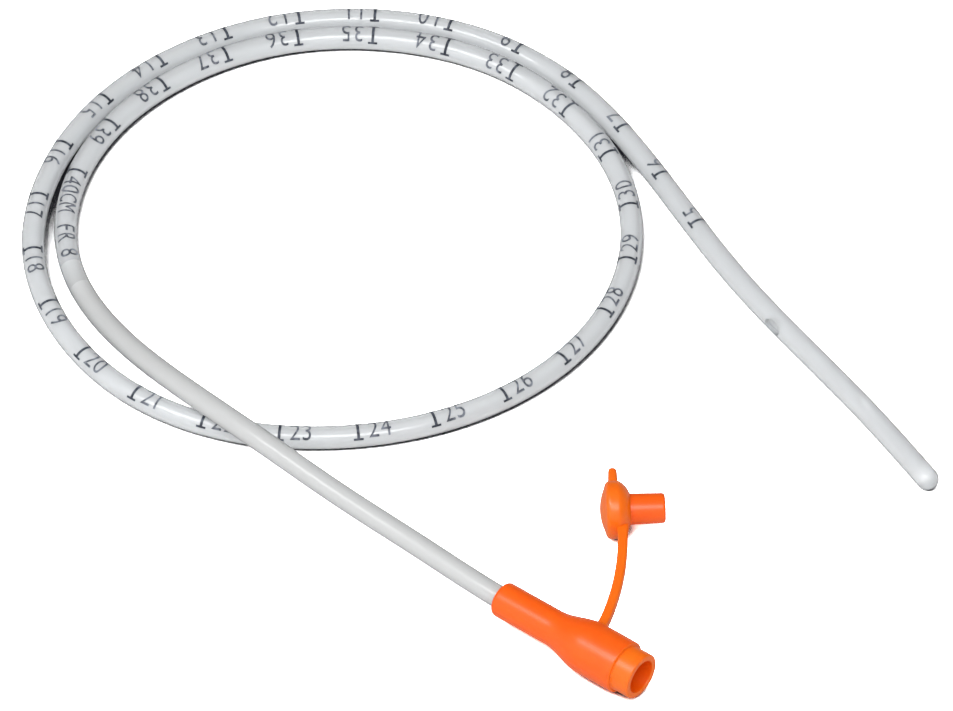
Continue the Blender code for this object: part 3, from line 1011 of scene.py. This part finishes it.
class FEEDINGTUBE_OT_cap(bpy.types.Operator):
    """Add the plug cap with its disc, plug and pull tab"""

    bl_idname = "feedingtube.cap"
    bl_label = "Plug cap"
    bl_options = {"REGISTER", "UNDO"}

    def execute(self, context):
        settings = context.scene.feeding_tube
        sizes = settings.cap
        cap = turned("cap", cap_rows(sizes), 96)
        tab = self.tab(sizes)
        combine(cap, tab, "UNION")
        shoulder_end = sizes.disc_thickness / 2 + sizes.dome_length
        # The disc and its shoulder take the paler orange of painted light; the plug keeps the
        # body's orange
        mould(cap, settings.connector, lambda middle: middle.x < shoulder_end)
        hinge = Vector(HINGES["cap_fold"]["pos_m"])
        arm = sizes.disc_diameter / 2 + settings.strap.reach
        lift = (sizes.disc_diameter - settings.connector.body_diameter) / 2
        middle = Matrix.Translation((-sizes.off_centre, arm, lift))
        place(cap, Matrix.Translation(hinge) @ Matrix.Rotation(sizes.azimuth, 4, "Z") @ middle)
        smooth(cap)
        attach(cap, "cap")
        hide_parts("plug_cap")
        return {"FINISHED"}

    def tab(self, sizes):
        """The pull tab: a tongue away from the strap, extruded to its round end."""
        in_disc, taper = 0.0008, 0.94
        root = sizes.disc_diameter / 2 - in_disc
        tip = sizes.disc_diameter / 2 + sizes.tab_reach
        middle = (-sizes.tab_back, root, 0)
        size = (sizes.tab_thickness * 1.15, sizes.tab_width)
        rounding = sizes.tab_thickness * 0.45
        obj = rounded_section("tab", (math.pi / 2, 0, 0), middle, size, rounding, 6)
        along, size = root, 1
        end = sizes.tab_width / 2
        for next_along, next_size in [(tip - end, taper)] + arc((tip - end, 0), end, 80, 6, 10):
            if next_along > tip - end:
                next_size = taper * next_size / end
            extrude(0, next_along - along, 0)
            share = next_size / size
            centre = (-sizes.tab_back, next_along, 0)
            bpy.ops.transform.resize(value=(share, 1, share), center_override=centre)
            along, size = next_along, next_size
        mode("OBJECT")
        return face_outwards(obj)


class FEEDINGTUBE_OT_stage(bpy.types.Operator):
    """Add the white table, the lights and the camera"""

    bl_idname = "feedingtube.stage"
    bl_label = "Stage"
    bl_options = {"REGISTER", "UNDO"}

    def execute(self, context):
        stage = context.scene.feeding_tube.stage
        context.scene.view_settings.view_transform = "Standard"
        self.add_floor()
        self.light_world(stage)
        self.add_softbox(stage)
        self.add_camera(context, stage)
        return {"FINISHED"}

    def bare_tree(self, owner):
        """An emptied node tree, and masks of camera rays, bent rays and rays through the tube."""
        owner.use_nodes = True
        owner.node_tree.nodes.clear()
        nodes = Nodes(owner.node_tree)
        rays = nodes.add("ShaderNodeLightPath").outputs
        through = rays["Is Transmission Ray"]
        bent = nodes.math("MAXIMUM", rays["Is Glossy Ray"], through)
        return nodes, rays["Is Camera Ray"], bent, through

    def add_floor(self):
        bpy.ops.mesh.primitive_plane_add(size=4)
        floor = named(active(), "table")
        made = bpy.data.materials.new("white_table")
        nodes, camera, bent, through = self.bare_tree(made)
        # Painted contact shadow: ambient occlusion, leaned to the left, darkens the table's colour
        # next to the pieces; elsewhere the table is overlit to white
        lean = nodes.add("ShaderNodeCombineXYZ", dict(enumerate(CONTACT_LEAN))).outputs[0]
        links = {"Distance": CONTACT_REACH, "Normal": lean}
        near = nodes.add("ShaderNodeAmbientOcclusion", links, samples=16).outputs["AO"]
        links = {0: near, 1: CONTACT_OPEN[0], 2: CONTACT_OPEN[1]}
        overlit_with_painted_shadow = nodes.mix(nodes.add("ShaderNodeMapRange", links).outputs[0], PAINTED_CONTACT_SHADOW, OVERLIT)
        plain, bright, dim = (
            nodes.add("ShaderNodeBsdfDiffuse", {"Color": tint}).outputs[0]
            for tint in (TABLE_GREY, overlit_with_painted_shadow, TABLE_IN_GLOSS)
        )
        glow = nodes.add("ShaderNodeEmission", {"Color": WHITE, "Strength": 1}).outputs[0]
        for_bent = nodes.either(nodes.between(through, 0.05, 0.92), dim, glow)
        mixed = nodes.either(bent, nodes.either(camera, plain, bright), for_bent)
        nodes.add("ShaderNodeOutputMaterial", {"Surface": mixed})
        finish_with(floor, made)

    def light_world(self, stage):
        """White for the camera; for light and gloss, brighter in front on the left."""
        world = bpy.data.worlds.new("studio")
        bpy.context.scene.world = world
        nodes, camera, bent, through = self.bare_tree(world)
        links = {0: nodes.add("ShaderNodeTexCoord").outputs["Generated"], 1: WORLD_FRONT}
        front = nodes.add("ShaderNodeVectorMath", links, operation="DOT_PRODUCT").outputs["Value"]
        seen = nodes.step(front, 0.1, 0.9, nodes.between(through, 0.04, 0.4), 1.0)
        links = {0: front, 1: -1, 2: 1, 3: stage.ambient * 0.6, 4: stage.ambient * 1.5}
        around = nodes.add("ShaderNodeMapRange", links).outputs[0]
        soft, studio, plain = (
            nodes.add("ShaderNodeBackground", {"Color": WHITE, "Strength": strength}).outputs[0]
            for strength in (around, seen, 1)
        )
        mixed = nodes.either(camera, nodes.either(bent, soft, studio), plain)
        nodes.add("ShaderNodeOutputWorld", {"Surface": mixed})

    def add_softbox(self, stage):
        """One long soft light, from the left round to the front."""
        bpy.ops.object.light_add(type="AREA", location=SOFTBOX_PLACE)
        box = named(active(), "softbox")
        box.data.energy = stage.key_strength
        box.data.shape = "RECTANGLE"
        box.data.size, box.data.size_y = SOFTBOX_SIZE
        box.rotation_euler = (-Vector(box.location)).to_track_quat("-Z", "Y").to_euler()

    def add_camera(self, context, stage):
        focal_pixels = stage.lens / SENSOR_WIDTH * PHOTO_WIDTH
        distance = focal_pixels / stage.pixels_across
        back = Vector((0, -math.cos(stage.elevation), math.sin(stage.elevation)))
        bpy.ops.object.camera_add(location=Vector(stage.aim) + back * distance)
        camera = named(active(), "camera")
        camera.data.lens = stage.lens
        camera.data.clip_start = 0.1
        camera.data.clip_end = 20
        camera.rotation_euler = (math.pi / 2 - stage.elevation, 0, 0)
        context.scene.camera = camera


class FEEDINGTUBE_PT_panel(bpy.types.Panel):
    """Lists the pieces of the feeding tube"""

    bl_idname = "FEEDINGTUBE_PT_panel"
    bl_label = "Feeding Tube"
    bl_space_type = "VIEW_3D"
    bl_region_type = "UI"
    bl_category = "Feeding Tube"

    def draw(self, context):
        settings = context.scene.feeding_tube
        for operator, group in zip(OPERATORS, GROUPS):
            box = self.layout.box()
            box.operator(operator.bl_idname)
            values = getattr(settings, group)
            for key in values.__annotations__:
                box.prop(values, key)


OPERATORS = (
    FEEDINGTUBE_OT_tube,
    FEEDINGTUBE_OT_print,
    FEEDINGTUBE_OT_connector,
    FEEDINGTUBE_OT_strap,
    FEEDINGTUBE_OT_cap,
    FEEDINGTUBE_OT_stage,
)
GROUPS = ("tube", "print", "connector", "strap", "cap", "stage")
CLASSES = (
    TubeSettings,
    PrintSettings,
    ConnectorSettings,
    StrapSettings,
    CapSettings,
    StageSettings,
    FeedingTubeSettings,
    *OPERATORS,
    FEEDINGTUBE_PT_panel,
)


def register():
    for cls in CLASSES:
        bpy.utils.register_class(cls)
    bpy.types.Scene.feeding_tube = bpy.props.PointerProperty(type=FeedingTubeSettings)


def unregister():
    del bpy.types.Scene.feeding_tube
    for cls in reversed(CLASSES):
        bpy.utils.unregister_class(cls)


def main():
    register()
    bpy.ops.feedingtube.tube()
    bpy.ops.feedingtube.print()
    bpy.ops.feedingtube.connector()
    bpy.ops.feedingtube.strap()
    bpy.ops.feedingtube.cap()
    bpy.ops.feedingtube.stage()


if __name__ == "__main__":
    main()
